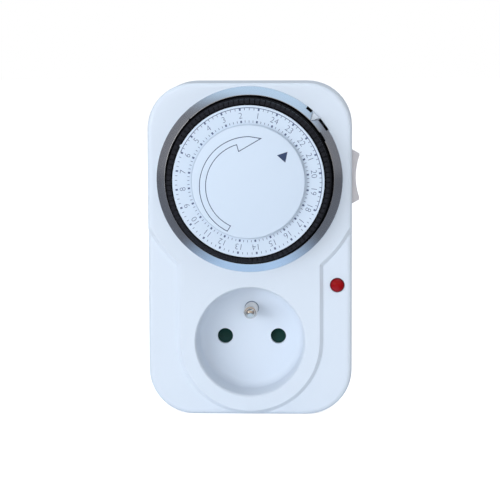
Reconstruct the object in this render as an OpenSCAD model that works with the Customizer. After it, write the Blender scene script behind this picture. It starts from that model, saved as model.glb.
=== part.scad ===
// Plug-in mechanical timer switch: a mains plug behind, a socket in front on the same axis,
// and a 24-hour dial with 96 push tappets above them.
// Pieces are drawn in plan, with x to the right, y up and h from the plug's end face towards
// the user. plan() then stands them up, so that the pins point along +Y and the dial faces -Y.

/* [Housing] */
// Face left beside the trim ring, at each side
side_margin = 3.25; // [3:0.05:6]
// Face left above the trim ring
top_margin = 1.1; // [1:0.05:6]
// Face left below the socket
bottom_margin = 6.5; // [5.5:0.05:9]
// Face left between the trim ring and the socket
middle_margin = 5.2; // [4:0.1:9]
// Gap between the motor and the rear wall
motor_clear = 1.7; // [1:0.1:4]
// Corner radius seen from the front
corner_r = 16; // [12:0.5:18]
// Rounding of the front and rear edges
edge_r = 1.75; // [1.5:0.25:3]
// Wall thickness of both shells
wall = 2; // [1.6:0.1:2.2]
// Depth of the rear shell
rear_shell = 9; // [8:0.5:10]
// Overlap of the two shells at their joint line
lip_h = 1.2; // [0.8:0.1:1.4]

/* [Raised face] */
// Height of the step in the front face
step_h = 1.5; // [1:0.1:1.8]
// Sideways run of the step's slope
step_run = 1.25; // [0.6:0.05:2]
// Raised face round the trim ring
dial_shoulder = 6.7; // [6:0.1:8.5]
// Raised face round the socket
socket_shoulder = 5.55; // [4.5:0.05:6.5]

/* [Plug] */
// Plug body outside the axis of a pin
plug_margin = 9.1; // [8.9:0.1:9.6]
// Depth of the plug body
plug_depth = 17; // [16:0.25:19]
// Diameter of a contact pin
pin_d = 4.8; // [4.6:0.05:4.9]
// Length of a contact pin outside the plug
pin_len = 19; // [18:0.25:20]
// Distance between the two pins
pin_gap = 19; // [18.5:0.1:19.5]
// Earth contact above the line of the pins
earth_up = 10; // [9.5:0.1:10.5]
// Thickness of the plug's end face
end_wall = 2.5; // [2:0.1:3]
// Width of the notch beside each earth clip
clip_notch_w = 7.5; // [7:0.25:9]
// Depth of the notch beside each earth clip
clip_notch_d = 2.2; // [2:0.1:2.6]
// Width of the guide groove in each side of the plug
guide_w = 5.5; // [4:0.25:7]
// Depth of the guide groove
guide_d = 1.2; // [0.8:0.1:1.6]

/* [Socket] */
// Play of a plug body in the socket's rim
socket_play = 0.95; // [0.6:0.05:1.3]
// Depth of the socket recess below the raised face
recess_depth = 15.5; // [15:0.25:16.5]
// Radius of the recess's rounded rim
rim_r = 1.2; // [0.6:0.1:2]
// Radius where the recess wall meets its floor
floor_fillet = 2.5; // [1:0.25:4]
// Diameter of the two pin holes
hole_d = 5.5; // [5.2:0.1:6]
// Length of the earth pin above the recess floor
earth_len = 13.9; // [13:0.1:14.5]
// Travel of the safety shutter
shutter_travel = 6; // [5.5:0.25:6.5]

/* [Dial] */
// Diameter of the printed number ring
dial_d = 52.5; // [50:0.25:58]
// Number ring above the raised face
dial_rise = 10.1; // [9.6:0.1:11]
// Diameter of the fixed centre disc
disc_d = 39.4; // [34:0.2:41]
// Centre disc above the number ring
disc_rise = 1.9; // [1.6:0.1:2.6]
// Width of the trim ring
bezel_band = 3.2; // [2.4:0.1:4]
// Gap between the tappets' guide and the trim ring
moat = 0.55; // [0.4:0.05:1]
// Trim ring above the raised face
bezel_rise = 2.45; // [2:0.05:3]
// Clock angle of the time index
index_angle = 46; // [45:0.5:47]
// Tappet head outside its stem
head_lip = 0.3; // [0:0.05:0.4]
// Tappets in one hour
per_hour = 4; // [4]
// Travel of a tappet when it is pushed in
tappet_travel = 3; // [2.5:0.1:3.2]

/* [Movement] */
// Gear module
gear_module = 0.5; // [0.5]
// Teeth on the dial gear
dial_teeth = 96; // [96]
// Teeth on each small pinion
pinion_teeth = 12; // [12]
// Teeth on the idler's wheel
wheel_teeth = 36; // [36]
// Clock angle of the gear train below the dial axis
train_angle = 200; // [196:1:204]
// Diameter of the motor can
motor_d = 36; // [34:0.5:37]
// Thickness of the motor can
motor_thick = 13; // [11:0.5:18]

/* [Controls] */
// Length of the rocker at its outer corners
rocker_len = 15.7; // [15:0.1:18]
// Width of the rocker across the housing wall
rocker_w = 10.8; // [9:0.2:11.2]
// Rocker's middle below the raised face
rocker_under = 15.5; // [15:0.25:17]
// Rocker ends above the housing wall
rocker_rise = 2.65; // [2:0.05:3.2]
// Radius of the rocker's hollow face
rocker_hollow_r = 24.5; // [24:0.5:40]
// Diameter of the pilot lens
lens_d = 5; // [4.6:0.1:6]
// Pilot lens inside the right edge
lens_in = 5.15; // [5:0.05:6]
// Pilot lens above the socket axis
lens_y = 20; // [14:0.5:26]

/* [Fits] */
// Clearance between a shaft and its bore
run_gap = 0.05; // [0.03:0.01:0.08]
// Clearance round a sliding tappet
slide_gap = 0.1; // [0.08:0.01:0.15]
// Clearance between fixed pieces
fixed_gap = 0.1; // [0.05:0.01:0.15]

/* [Hidden] */
$fn = 64;
hours = 24;
tappets = hours * per_hour;
e = 0.5;

// Levels in h, from the plug's end face towards the user
rear_h = plug_depth;
split_h = rear_h + rear_shell;
back_in = rear_h + wall;

// Motor and gear train
motor_low = back_in + motor_clear;
plate_thick = 2;
plate_low = motor_low + motor_thick;
plate_top = plate_low + plate_thick;
wheel_thick = 1.6;
wheel_low = plate_top + 0.4;
wheel_top = wheel_low + wheel_thick;
gear_thick = 2;
gear_low = wheel_top + 0.8;
gear_top = gear_low + gear_thick;

// Tappets and their guide, from the lowest point of a pushed tappet to the dial face
pushed_h = gear_top + 1.5;
guide_len = 7.3;
guide_low = pushed_h + tappet_travel;
guide_top = guide_low + guide_len;
head_len = 3.4;
head_low = guide_top + tappet_travel + 2 * slide_gap;
tip_h = head_low + head_len;
dial_h = tip_h + 0.2;

// Housing and socket, below and above the raised face
face_h = dial_h - dial_rise;
low_h = face_h - step_h;
front_in = low_h - wall;
high_in = face_h - wall;
floor_h = face_h - recess_depth;
floor_under = floor_h - wall;
disc_h = dial_h + disc_rise;
bezel_h = face_h + bezel_rise;

// Plug and socket outlines
pin_r = pin_d / 2;
pin_x = pin_gap / 2;
plug_r = pin_x + plug_margin;
plug_in_r = plug_r - wall;
recess_r = plug_r + socket_play;
cup_r = recess_r - rim_r * 0.45;
cup_wall = 1.8;

// Dial outlines, outwards from the number ring to the trim ring
dial_r = dial_d / 2;
disc_r = disc_d / 2;
drum_r = dial_r - 0.25;
drum_wall = 1.8;
slot_in_r = drum_r + 0.5;
stem_in_r = slot_in_r + slide_gap;
stem_out_r = stem_in_r + 1.5;
slot_out_r = stem_out_r + slide_gap;
guide_r = slot_out_r + 0.55;
tappet_r = stem_out_r + head_lip;
bezel_in_r = guide_r + moat;
bezel_out_r = bezel_in_r + bezel_band;
opening_r = bezel_in_r + 0.7;

// Outline of the housing, built round the dial and the socket
socket_up = recess_r + bottom_margin;
dial_up = bezel_out_r + recess_r + middle_margin;
body_w = 2 * (bezel_out_r + side_margin);
body_h = socket_up + dial_up + bezel_out_r + top_margin;
zone_dial_r = bezel_out_r + dial_shoulder;
zone_socket_r = recess_r + socket_shoulder;
bottom_y = -socket_up;
top_y = body_h - socket_up;
half_w = body_w / 2;
screw_r = 1.2;
screw_head_r = 2.6;
boss_r = 3;
screw_places = [
    [half_w - 5.25, dial_up + 20.75],
    [5.25 - half_w, dial_up + 20.75],
    [half_w - 7.75, bottom_y + 8.3],
    [7.75 - half_w, bottom_y + 8.3]
];

// Contacts, carrier and shutter
shoulder_r = pin_r + 0.6;
neck_r = pin_r - 0.3;
clip_w = 5.8;
clip_thick = 0.8;
earth_tube_r = 3.4;
contact_low = plug_depth - 4;
contact_len = 13;
contact_r = 3.2;
carrier_tube_r = contact_r + 1.2;
tail_r = 1.8;
line_tail_h = 9;
carrier_gap = 2.9;
carrier_top = floor_under - carrier_gap;
carrier_thick = 2;
carrier_low = carrier_top - carrier_thick;
pillar_x = pin_x + 3;
pillar_y = 10.5;
pillar_r = 2.2;
small_r = 1.1;
small_head_r = 2;
small_head_h = 1.1;
shutter_h = 2.2;
shutter_top = floor_under - 0.25;
shutter_half = 3.2;
shutter_in_x = pin_x - 3.9;
shutter_out_x = pin_x + 3.7;
spring_stop_y = -shutter_half - shutter_travel - 4.2;

// Dial
ring_thick = 1;
post_r = 2.5;
hub_r = 5;
tappet_w = 1.1;
head_w = 1.55;
head_in_r = dial_r + 0.55;
skirt_h = 2.5;
lug_angle = 298;
index_half = 3.25;
index_slope = 0.54;
notch_before = 4.25;
notch_after = 8.45;
first_hour = 23.4;

// Gear train
train_r = gear_module * (dial_teeth + pinion_teeth) / 2;
motor_train_r = train_r - gear_module * (wheel_teeth + pinion_teeth) / 2;
idler_post_r = 1;
idler_top = gear_top - slide_gap;
shaft_r = 0.8;
plate_r = 25;
post_place_r = 22;
post_angles = [30, 150, 270];
motor_screw_r = 13.5;
motor_screw_angles = [75, 300];

// Follower and microswitch, in a frame whose +y runs outwards at the index
tip_track_r = (stem_in_r + stem_out_r) / 2;
pivot_r = opening_r + 8;
follower_arm = pivot_r - tip_track_r;
follower_gap = 1.1;
nose_top = guide_low - follower_gap;
nose_travel = tappet_travel - follower_gap + 0.1;
pivot_h = guide_low - 4.5;
follower_half = 1.4;
trunnion_r = 0.9;
button_r = pivot_r - 5;
button_top = pivot_h - 1.5;
switch_top = button_top - 2.2;
switch_size = [11.2, 6, 10];
switch_shift = -8.7;
switch_low = switch_top - switch_size[2];

// Rocker
rocker_h = face_h - rocker_under;
rocker_x = half_w - 4.75;
rocker_slope = 1.5;
rocker_swing = 8;
rocker_pin_r = 1.2;
window_half = rocker_len / 2 + rocker_slope + 0.7;
base_x = rocker_x - 4.4;
bridge_x = rocker_x - 2.6;
bridge_len = 13;
bridge_thick = 0.5;
contact_y = bridge_len / 2 - 1;
axle_r = 0.4;
axle_x = bridge_x + 0.05;
cheek_h = rocker_w / 2 + 1.1;

// Pilot lamp
lens_x = half_w - lens_in;
lamp_r = 1.9;
lamp_top = front_in - 1.2;
lamp_low = lamp_top - 9.8;
lamp_leg_low = lamp_low - 2;

// Points on a clock-angle arc, from angle a to angle b
function arc(r, a, b, n, c = [0, 0]) =
    [for (i = [0:n]) c + r * [sin(a + (b - a) * i / n), cos(a + (b - a) * i / n)]];

// Rounded rectangle outline, inset from the housing's own outline
function body_outline(inset, n = 12) =
    let (r = corner_r - inset, x = half_w - corner_r, high = top_y - corner_r, low = bottom_y + corner_r)
    concat(
        arc(r, 0, 90, n, [x, high]),
        arc(r, 90, 180, n, [x, low]),
        arc(r, 180, 270, n, [-x, low]),
        arc(r, 270, 360, n, [-x, high])
    );

// Sector between two radii and two clock angles
function sector(r_in, r_out, a, b, n = 6) = concat(arc(r_out, a, b, n), arc(r_in, b, a, n));

// Half width of a gear tooth, as an angle, at radius r
function involute(a) = tan(a) * 180 / PI - a;
function tooth_half(r, pitch, base, thin) =
    90 * gear_module / pitch / 2 - thin
    + involute(acos(base / pitch)) - (r > base ? involute(acos(base / r)) : 0);

// Gear outline with a tooth centred on clock angle 0
function gear_outline(teeth, addendum, dedendum, backlash) =
    let (
        pitch = gear_module * teeth / 2,
        base = pitch * cos(20),
        thin = backlash / pitch * 180 / PI,
        radii = [pitch - dedendum, pitch - dedendum / 3, pitch + addendum / 2, pitch + addendum],
        halves = [for (r = radii) tooth_half(r, pitch, base, thin)]
    )
    [for (i = [0:teeth - 1]) each concat(
        [for (k = [0:3]) radii[k] * [sin(i * 360 / teeth - halves[k]), cos(i * 360 / teeth - halves[k])]],
        [for (k = [3:-1:0]) radii[k] * [sin(i * 360 / teeth + halves[k]), cos(i * 360 / teeth + halves[k])]]
    )];

module plan() rotate([90, 0, 0]) children();
module slab(low, high) translate([0, 0, low]) linear_extrude(high - low) children();
module rod(r, low, high) translate([0, 0, low]) cylinder(r = r, h = high - low);
module block(low, high) translate(low) cube(high - low);
module at_dial() translate([0, dial_up, 0]) children();
module clock(angle, r = 0) rotate(-angle) translate([0, r, 0]) children();
module both_sides() {
    children();
    mirror([1, 0, 0]) children();
}

// Block with the housing's outline and rounded low or high edges
module rounded_block(low, high, low_r, high_r) {
    low_edge = low_r > 0 ? arc(low_r, 180, 90, 5, [corner_r - low_r, low + low_r]) : [[corner_r, low]];
    high_edge = high_r > 0 ? arc(high_r, 90, 0, 5, [corner_r - high_r, high - high_r]) : [[corner_r, high]];
    hull()
        for (x = [corner_r - half_w, half_w - corner_r], y = [bottom_y + corner_r, top_y - corner_r])
            translate([x, y, 0])
                rotate_extrude($fn = 48) polygon(concat([[0, low]], low_edge, high_edge, [[0, high]]));
}

// Outline of the raised zone: a keyhole about the dial and the socket, open to the top
module zone_outline(inset) {
    translate([0, dial_up]) circle(zone_dial_r - inset, $fn = 128);
    circle(zone_socket_r - inset);
    translate([inset - zone_socket_r, 0]) square([2 * (zone_socket_r - inset), dial_up]);
    translate([-body_w, dial_up]) square([2 * body_w, body_h]);
}

// The raised zone, straight up to the low face and sloped from there to the raised face
module raised_zone(low, high) {
    run = step_run / 2;
    slab(low, low_h + 0.01) zone_outline(-run);
    at_dial() translate([0, 0, low_h])
        cylinder(r1 = zone_dial_r + run, r2 = zone_dial_r - run, h = high - low_h, $fn = 128);
    translate([0, 0, low_h])
        cylinder(r1 = zone_socket_r + run, r2 = zone_socket_r - run, h = high - low_h);
    translate([0, dial_up, 0]) rotate([90, 0, 0])
        linear_extrude(dial_up) polygon([
            [-zone_socket_r - run, low_h],
            [zone_socket_r + run, low_h],
            [zone_socket_r - run, high],
            [run - zone_socket_r, high]
        ]);
    slab(low, high) translate([-body_w, dial_up]) square([2 * body_w, body_h]);
}

// Section of the plug body, inset from its outer face
module plug_section(inset) difference() {
    circle(plug_r - inset);
    for (side = [-1, 1]) {
        translate([-clip_notch_w / 2 - inset, side * (plug_r - clip_notch_d - inset) - (side < 0 ? plug_r : 0)])
            square([clip_notch_w + 2 * inset, plug_r]);
        translate([side * (plug_r - guide_d - inset) - (side < 0 ? plug_r : 0), -guide_w / 2 - inset])
            square([plug_r, guide_w + 2 * inset]);
    }
}

// Wedge that points inwards at the time index, and the two notches beside it
module index_wedge(tip, out) polygon([
    [-index_slope * (out - tip), out],
    [0, tip],
    [index_slope * (out - tip), out]
]);
module notches(r_in, r_out) {
    polygon(sector(r_in, r_out, index_angle - index_half - notch_before, index_angle - index_half));
    polygon(sector(r_in, r_out, index_angle + index_half, index_angle + index_half + notch_after));
}

// Socket recess, as the solid that is cut away
module recess_cut() rotate_extrude($fn = 96) {
    rim_c = [cup_r + rim_r, face_h - rim_r];
    polygon(concat(
        [[0, floor_h]],
        arc(floor_fillet, 180, 90, 8, [cup_r - 0.4 - floor_fillet, floor_h + floor_fillet]),
        [for (p = arc(rim_r, 270, 360, 6, rim_c)) [min(p[0], recess_r), p[1]]],
        [[recess_r, face_h + e], [0, face_h + e]]
    ));
}

module front_case() color("aliceblue") plan() difference() {
    union() {
        difference() {
            union() {
                rounded_block(split_h, low_h, 0, edge_r);
                intersection() {
                    rounded_block(split_h, face_h, 0, edge_r);
                    raised_zone(low_h - edge_r, face_h);
                }
            }
            slab(split_h - e, front_in) polygon(body_outline(wall));
            slab(front_in - e, high_in) intersection() {
                zone_outline(wall);
                polygon(body_outline(wall + step_h));
            }
        }
        rod(cup_r + cup_wall, floor_under, high_in + e);
        for (p = screw_places) translate(p)
            rod(boss_r, split_h, (p[1] > dial_up ? high_in : front_in) + e);
        both_sides() translate([pillar_x, pillar_y]) rod(pillar_r, carrier_top, floor_under + e);
        both_sides()
            block([shutter_out_x + 1, spring_stop_y + 1.4, carrier_top], [shutter_out_x + 2.4, 6, floor_under + e]);
        block([-4, spring_stop_y - 1.4, carrier_top], [4, spring_stop_y, floor_under + e]);
        at_dial() clock(index_angle) slab(face_h - e, bezel_h - 0.25)
            index_wedge(bezel_in_r + 0.1 + 2.2 * fixed_gap, bezel_out_r - 0.2);
    }
    recess_cut();
    both_sides() translate([pin_x, 0]) rod(hole_d / 2, floor_under - e, floor_h + e);
    translate([0, earth_up]) rod(neck_r + fixed_gap / 4, floor_under - e, floor_h + e);
    at_dial() rod(opening_r, front_in - e, face_h + e);
    translate([lens_x, lens_y]) rod(lens_d / 2 + fixed_gap, front_in - e, low_h + e);
    for (p = screw_places) translate(p) rod(screw_r + run_gap, split_h - e, split_h + 10);
    both_sides() translate([pillar_x, pillar_y]) rod(small_r + run_gap, carrier_top - e, floor_under + 1);
    slab(split_h - e, split_h + lip_h + fixed_gap) difference() {
        polygon(body_outline(wall / 2));
        polygon(body_outline(wall + fixed_gap));
    }
    at_dial() slab(high_in - e, face_h + e) notches(bezel_out_r - 1, bezel_out_r + 0.1);
    block(
        [half_w - wall - e, dial_up - window_half, rocker_h - rocker_w / 2 - 0.3],
        [half_w + e, dial_up + window_half, rocker_h + rocker_w / 2 + 0.3]
    );
}

module rear_case() color("ghostwhite") plan() difference() {
    union() {
        difference() {
            union() {
                rounded_block(rear_h, split_h, edge_r, 0);
                slab(0, rear_h + wall / 2) plug_section(0);
            }
            slab(back_in, split_h + e) polygon(body_outline(wall));
        }
        slab(split_h - 1, split_h + lip_h) difference() {
            polygon(body_outline(wall / 2 + fixed_gap));
            polygon(body_outline(wall));
        }
        for (p = screw_places) translate(p) rod(boss_r + 0.6, back_in - e, split_h);
        at_dial() for (a = post_angles) clock(a, post_place_r) rod(2.9, back_in - e, plate_low);
        at_dial() clock(index_angle) {
            block([switch_shift + 1.5, button_r - 2, back_in - e], [1, button_r + 2, switch_low]);
            for (side = [0, 1]) mirror([side, 0, 0])
                block(
                    [follower_half + 0.2, pivot_r - 1.8, back_in - e],
                    [follower_half + 1.5, pivot_r + 1.4, pivot_h + 1.8]
                );
        }
    }
    slab(end_wall, back_in + e) plug_section(wall);
    both_sides() translate([pin_x, 0]) rod(shoulder_r + fixed_gap / 4, -e, end_wall + e);
    translate([0, earth_up]) rod(earth_tube_r + fixed_gap / 4, -e, end_wall + e);
    for (side = [0, 1]) mirror([0, side, 0])
        block(
            [-clip_w / 2 - fixed_gap, plug_r - clip_notch_d - wall - e, end_wall - fixed_gap],
            [clip_w / 2 + fixed_gap, plug_r, end_wall + clip_thick + fixed_gap]
        );
    for (p = screw_places) translate(p) {
        rod(screw_r + 0.2, rear_h - e, split_h + e);
        rod(screw_head_r + 0.2, rear_h - e, rear_h + 1.6);
    }
    at_dial() for (a = post_angles) clock(a, post_place_r) rod(small_r + run_gap, plate_low - 7, plate_low + e);
    at_dial() clock(index_angle) translate([0, pivot_r, pivot_h]) rotate([0, 90, 0])
        cylinder(r = trunnion_r + run_gap, h = 8, center = true);
}

module case_screws() color("silver") plan() for (p = screw_places) translate(p) {
    rod(screw_head_r, rear_h + 0.4, rear_h + 1.6);
    rod(screw_r, rear_h + 1.5, split_h + 9);
}

// Short screw, with its head's underside at h = 0 and its shank along +h
module small_screw() {
    rod(small_head_r, -small_head_h, 0);
    rod(small_r, -0.1, 5);
}

module small_screws() color("silver") plan() {
    both_sides() translate([pillar_x, pillar_y, carrier_low]) small_screw();
    at_dial() {
        for (a = post_angles) clock(a, post_place_r)
            translate([0, 0, plate_top]) mirror([0, 0, 1]) small_screw();
        for (a = motor_screw_angles) clock(a, motor_screw_r)
            translate([0, 0, plate_top]) mirror([0, 0, 1]) small_screw();
    }
}

// Solid pin with a rounded end at h = low
module round_pin(r, low, high) rotate_extrude()
    polygon(concat(
        [[0, high], [0, low]],
        arc(r * 0.9, 180, 100, 6, [r * 0.1, low + r * 0.9]),
        [[r, low + r], [r, high]]
    ));

module plug_pin(side, tail_h) color("silver") plan() translate([side * pin_x, 0]) {
    round_pin(pin_r, -pin_len, 0.1);
    rod(shoulder_r, 0, end_wall + 0.1);
    rod(pin_r + 1.2, end_wall, end_wall + 1.5);
    rod(tail_r, end_wall, tail_h);
}

module plug_pin_line() plug_pin(1, line_tail_h);
module plug_pin_neutral() plug_pin(-1, contact_low);

module plug_earth_clips() color("silver") plan() {
    clip_in = plug_r - clip_notch_d + 0.1;
    slab(end_wall, end_wall + clip_thick) difference() {
        union() {
            translate([-clip_w / 2, -clip_in]) square([clip_w, 2 * clip_in]);
            translate([0, earth_up]) circle(earth_tube_r + 1.4);
        }
        translate([0, earth_up]) circle(earth_tube_r + fixed_gap / 4);
    }
    for (side = [0, 1]) mirror([0, side, 0]) translate([-clip_w / 2, 0, 0]) rotate([90, 0, 90])
        linear_extrude(clip_w) polygon([
            [clip_in, end_wall],
            [clip_in + clip_thick, end_wall],
            [clip_in + clip_thick + 0.7, end_wall + 5],
            [clip_in + clip_thick, plug_depth - 4],
            [clip_in, plug_depth - 4],
            [clip_in + 0.7, end_wall + 5],
            [clip_in, end_wall + clip_thick]
        ]);
}

module plug_earth_socket() color("goldenrod") plan() translate([0, earth_up]) difference() {
    rod(earth_tube_r, 0.3, rear_h + 1);
    rod(pin_r + run_gap, -e, rear_h - 1);
    translate([0, 0, 0.3 - e]) cylinder(r1 = pin_r + 1, r2 = pin_r, h = 1);
}

module socket_earth_pin() color("silver") plan() translate([0, earth_up]) {
    mirror([0, 0, 1]) round_pin(pin_r, -floor_h - earth_len, -floor_h);
    rod(neck_r, floor_under - 0.1, floor_h + 0.1);
    rod(pin_r + 1, floor_under - 1, floor_under);
    rod(2, rear_h + 1, floor_under - 0.5);
}

// Sliding shutter: its two ramps lie under the pin holes
module shutter() color("teal") plan() {
    low = shutter_top - shutter_h;
    both_sides() translate([shutter_in_x, 0, 0]) rotate([90, 0, 90])
        linear_extrude(shutter_out_x - shutter_in_x) polygon([
            [-shutter_half, low],
            [shutter_half, low],
            [shutter_half, low + 0.6],
            [-shutter_half + 2.2, shutter_top],
            [-shutter_half, shutter_top]
        ]);
    block([-shutter_in_x - 0.1, -shutter_half, low], [shutter_in_x + 0.1, 1.2, low + 1.4]);
    block([-1.6, -shutter_half, low], [1.6, -shutter_half + 1.6, shutter_top]);
}

// Helical spring along +y as a swept tube
module spring(coil_r, wire_r, length, turns, n = 10, sides = 6) {
    steps = turns * n;
    rings = [for (i = [0:steps]) let (a = i * 360 / n, y = wire_r + i * (length - 2 * wire_r) / steps)
        [for (k = [0:sides - 1]) let (t = k * 360 / sides, r = coil_r + wire_r * cos(t))
            [r * cos(a), y + wire_r * sin(t), r * sin(a)]]];
    polyhedron(
        points = [for (ring = rings) each ring],
        faces = concat(
            [[for (k = [sides - 1:-1:0]) k]],
            [for (i = [0:steps - 1], k = [0:sides - 1])
                let (j = (k + 1) % sides)
                [i * sides + k, i * sides + j, (i + 1) * sides + j, (i + 1) * sides + k]],
            [[for (k = [0:sides - 1]) steps * sides + k]]
        ),
        convexity = 10
    );
}

module shutter_spring() color("silver") plan()
    translate([0, spring_stop_y + 0.05, shutter_top - shutter_h / 2])
        spring(0.8, 0.2, -shutter_half - spring_stop_y - 0.1, 8);

module contact_carrier() color("ivory") plan() difference() {
    union() {
        block([-pillar_x - 4.5, -pillar_y - 4, carrier_low], [pillar_x + 4.5, pillar_y + 3.5, carrier_top]);
        both_sides() translate([pin_x, 0]) rod(carrier_tube_r, contact_low + 3, carrier_low + e);
    }
    both_sides() translate([pin_x, 0]) rod(contact_r + fixed_gap, contact_low, carrier_top + e);
    translate([0, earth_up]) rod(2 + fixed_gap, carrier_low - e, carrier_top + e);
    both_sides() translate([pillar_x, pillar_y]) rod(small_r + run_gap, carrier_low - e, carrier_top + e);
}

// Slotted contact tube that grips a plug's pin
module tulip(side) color("goldenrod") plan() translate([side * pin_x, 0]) difference() {
    rod(contact_r, contact_low, contact_low + contact_len);
    rod(pin_r + run_gap, contact_low + 1.2, contact_low + contact_len + e);
    for (a = [0, 90]) rotate(a + 45)
        block([-contact_r - e, -0.35, contact_low + 4], [contact_r + e, 0.35, contact_low + contact_len + e]);
}

module line_contact() tulip(1);
module neutral_contact() tulip(-1);

module line_bar() color("goldenrod") plan() {
    low = line_tail_h - 2;
    turn_x = pin_x + carrier_tube_r + 0.3 + clip_thick;
    run_h = back_in + 2;
    difference() {
        union() {
            translate([pin_x, 0]) rod(3, low, low + clip_thick);
            block([pin_x, -2, low], [turn_x, 2, low + clip_thick]);
        }
        translate([pin_x, 0]) rod(tail_r + fixed_gap / 4, low - e, low + e + clip_thick);
    }
    block([turn_x - clip_thick, -2, low], [turn_x, 2, run_h + clip_thick]);
    block([turn_x - clip_thick, -2, run_h], [half_w - 7, 2, run_h + clip_thick]);
    block([half_w - 10, -2, run_h], [half_w - 7, dial_up + 8, run_h + clip_thick]);
}

module switched_bar() color("goldenrod") plan() {
    low = contact_low - clip_thick;
    turn_y = sqrt(pow(plug_in_r - 0.6, 2) - pow(pin_x + 2, 2));
    run_h = back_in + 4.4;
    block([pin_x - 2, -2, low], [pin_x + 2, turn_y, contact_low]);
    block([pin_x - 2, turn_y - clip_thick, low], [pin_x + 2, turn_y, run_h + clip_thick]);
    block([pin_x - 2, turn_y - clip_thick, run_h], [half_w - 12, turn_y + 3, run_h + clip_thick]);
    block([half_w - 15, turn_y, run_h], [half_w - 12, dial_up - 8, run_h + clip_thick]);
}

// Round wire through a list of points
module wire(points, r = 0.6) for (i = [0:len(points) - 2]) {
    d = points[i + 1] - points[i];
    translate(points[i]) {
        sphere(1.1 * r);
        rotate([0, acos(d[2] / norm(d)), atan2(d[1], d[0])]) cylinder(r = r, h = norm(d));
    }
    translate(points[i + 1]) sphere(1.1 * r);
}

module leads() color("firebrick") plan() {
    wire([
        [lens_x - 1, lens_y, lamp_leg_low - 0.8],
        [lens_x - 1, lens_y, back_in + 3.4],
        [half_w - 8.5, lens_y, back_in + 3.4]
    ]);
    wire([
        [-pin_x - 5.4, 6, back_in + 1.6],
        [-half_w + 8, 12, back_in + 1.6],
        [-half_w + 8, dial_up - 20, back_in + 1.6],
        [-16, dial_up - 12, back_in + 1.6]
    ]);
}

module movement_plate() color("whitesmoke") plan() at_dial() {
    difference() {
        union() {
            rod(plate_r, plate_low, plate_top);
            clock(train_angle, train_r) rod(4, plate_low, plate_top);
        }
        clock(train_angle, motor_train_r) rod(3.9, plate_low - e, plate_top + e);
        for (a = post_angles) clock(a, post_place_r)
            rod(small_r + run_gap, plate_low - e, plate_top + e);
        for (a = motor_screw_angles) clock(a, motor_screw_r)
            rod(small_r + run_gap, plate_low - e, plate_top + e);
    }
    rod(post_r, plate_top - 0.1, dial_h + 0.1);
    clock(train_angle, train_r) rod(idler_post_r, plate_top - 0.1, idler_top);
}

module motor() color("silver") plan() at_dial() difference() {
    union() {
        rotate_extrude($fn = 96) polygon([
            [0, motor_low],
            [motor_d / 2 - 0.8, motor_low],
            [motor_d / 2, motor_low + 0.8],
            [motor_d / 2, plate_low - 2.4],
            [motor_d / 2 - 0.5, plate_low - 2.4],
            [motor_d / 2 - 0.5, plate_low],
            [0, plate_low]
        ]);
        clock(train_angle, motor_train_r) rod(3.5, plate_low - 0.1, plate_top);
    }
    clock(train_angle, motor_train_r) rod(shaft_r + run_gap, plate_low - 4, plate_top + e);
    for (a = motor_screw_angles) clock(a, motor_screw_r) rod(small_r + run_gap, plate_low - 4, plate_low + e);
}

// Pinion with a gap facing both ways along the line of centres
module pinion(low, high) slab(low, high)
    rotate(180 / pinion_teeth) polygon(gear_outline(pinion_teeth, 0.42, 0.55, 0.06));

module motor_pinion() color("gold") plan() at_dial() clock(train_angle, motor_train_r) {
    pinion(wheel_low - 0.2, wheel_top + 0.2);
    rod(shaft_r, plate_low - 3.8, wheel_low);
}

module idler_gear() color("gold") plan() at_dial() clock(train_angle, train_r) difference() {
    union() {
        slab(wheel_low, wheel_top) rotate(180) polygon(gear_outline(wheel_teeth, 0.38, 0.55, 0.06));
        pinion(wheel_top - 0.1, idler_top);
    }
    rod(idler_post_r + run_gap, wheel_low - e, gear_top + 2);
}

module dial_gear() color("ivory") plan() at_dial() difference() {
    slab(gear_low, gear_top) rotate(-train_angle) polygon(gear_outline(dial_teeth, 0.38, 0.55, 0.06));
    rod(post_r + run_gap, gear_low - e, gear_top + e);
    for (a = [0:60:300]) clock(a, 14) rod(4.5, gear_low - e, gear_top + e);
}

// Drum that carries the number ring, on a hub that turns on the centre post
module dial_carrier() color("ghostwhite") plan() at_dial() {
    web = 1.6;
    top = dial_h - ring_thick;
    difference() {
        union() {
            difference() {
                rod(drum_r, gear_top, top);
                rod(drum_r - drum_wall, gear_top + web, top + e);
            }
            rod(hub_r, gear_top, top - 1.1);
            for (a = [0:60:300]) clock(a)
                block([-0.7, hub_r - e, gear_top + web - 0.1], [0.7, drum_r - drum_wall + 0.4, gear_top + 9]);
        }
        rod(post_r + run_gap, gear_top - e, top + e);
    }
}

// Ring of closed slots in which the tappets slide
module tappet_guide() color("dimgray") plan() at_dial() slab(guide_low, guide_top) difference() {
    polygon(arc(guide_r, 0, 360, tappets));
    polygon(arc((drum_r + 0.02) / cos(180 / tappets), 0, 360, tappets));
    for (i = [0:tappets - 1]) rotate(-first_hour - (i + 0.5) * 360 / tappets)
        translate([-tappet_w / 2 - slide_gap, slot_in_r])
            square([tappet_w + 2 * slide_gap, slot_out_r - slot_in_r]);
}

// One tappet: a stem in the slot, and a bevelled head that a finger pushes
module tappet() {
    block([-tappet_w / 2, stem_in_r, guide_low], [tappet_w / 2, stem_out_r, head_low + 0.1]);
    translate([-head_w / 2, 0, 0]) rotate([90, 0, 90]) linear_extrude(head_w) polygon([
        [head_in_r, head_low],
        [tappet_r, head_low],
        [tappet_r, tip_h - 0.6],
        [tappet_r - 0.5, tip_h],
        [head_in_r, tip_h]
    ]);
}

// The four tappets that follow one hour's mark
module hour_tappets(hour) color("black") plan() at_dial()
    for (k = [0:per_hour - 1])
        rotate(-first_hour - (hours - hour) * 360 / hours - (k + 0.5) * 360 / tappets) tappet();

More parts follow.
